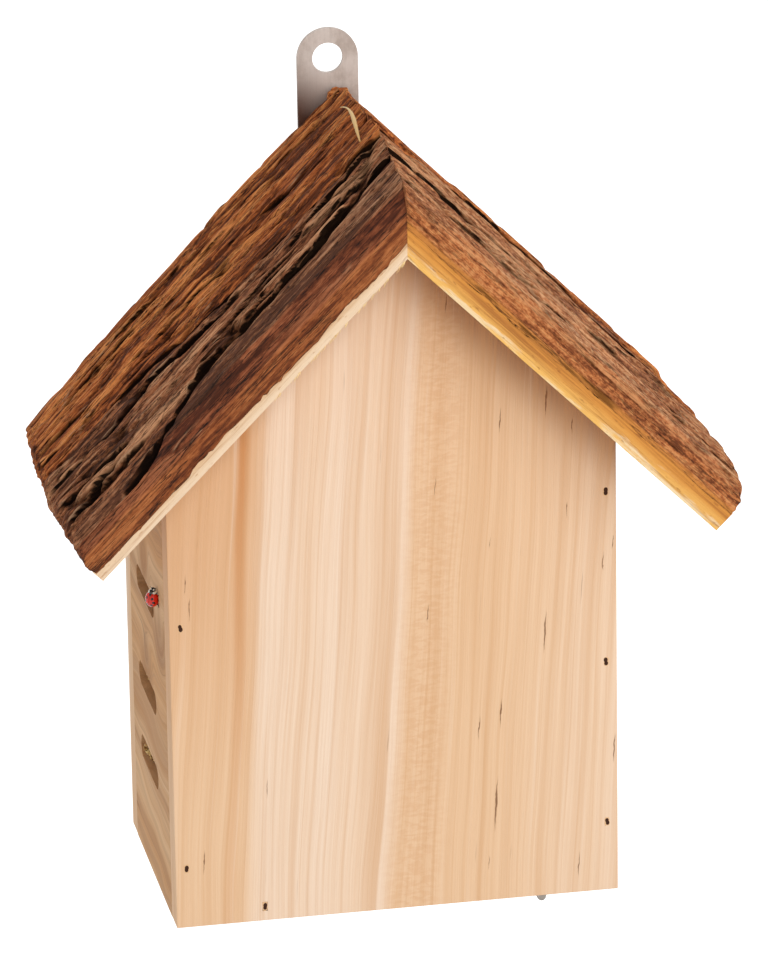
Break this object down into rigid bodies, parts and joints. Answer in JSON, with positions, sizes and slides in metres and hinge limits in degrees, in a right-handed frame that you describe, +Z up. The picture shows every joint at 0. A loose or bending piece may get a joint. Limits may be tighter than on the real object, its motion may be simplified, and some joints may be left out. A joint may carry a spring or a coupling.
{
  "type": "ladybug house",
  "caption": "Small gabled wooden house for ladybugs with slotted side walls, bark-covered roof slabs, a drop floor held by a hook and a steel hanger plate.",
  "frame": {"origin": "centre of the hanger hole on the wall plane, the hanger plate's back face", "axes": "+Z up, +Y into the wall that the house hangs on, so the front panel faces -Y; +X to the right seen from the front"},
  "size_m": [0.2172, 0.1251, 0.2749],
  "materials": {
    "panel_wood": "matte",
    "slab_wood": "matte",
    "bark": "matte",
    "plate_steel": "satin",
    "wire_steel": "satin",
    "wood_wool": "matte",
    "shell_red": "gloss",
    "head_black": "gloss"
  },
  "bodies": {
    "house": {"front_panel": "panel_wood", "back_panel": "panel_wood", "left_wall": "panel_wood", "right_wall": "panel_wood", "left_roof_board": "slab_wood", "right_roof_board": "slab_wood", "left_roof_bark": "bark", "right_roof_bark": "bark", "hanger_plate": "plate_steel", "hanger_screws": "wire_steel", "front_brads": "wire_steel", "back_brads": "wire_steel", "floor_pivot_brads": "wire_steel", "left_roof_nails": "wire_steel", "right_roof_nails": "wire_steel", "wood_wool": "wood_wool", "ladybug_shell": "shell_red", "ladybug_head": "head_black"},
    "floor": {"floor_flap": "panel_wood"},
    "latch": {"latch_hook": "wire_steel"}
  },
  "joints": [
    {"name": "floor_swing", "type": "hinge", "parent": "house", "child": "floor", "pos_m": [-0.0417, -0.0465, -0.255], "axis": [0, 1, 0], "range_deg": [0, 150]},
    {"name": "latch_turn", "type": "hinge", "parent": "house", "child": "latch", "pos_m": [0.0505, -0.0865, -0.26], "axis": [0, 0, 1], "range_deg": [-90, 90]}
  ]
}
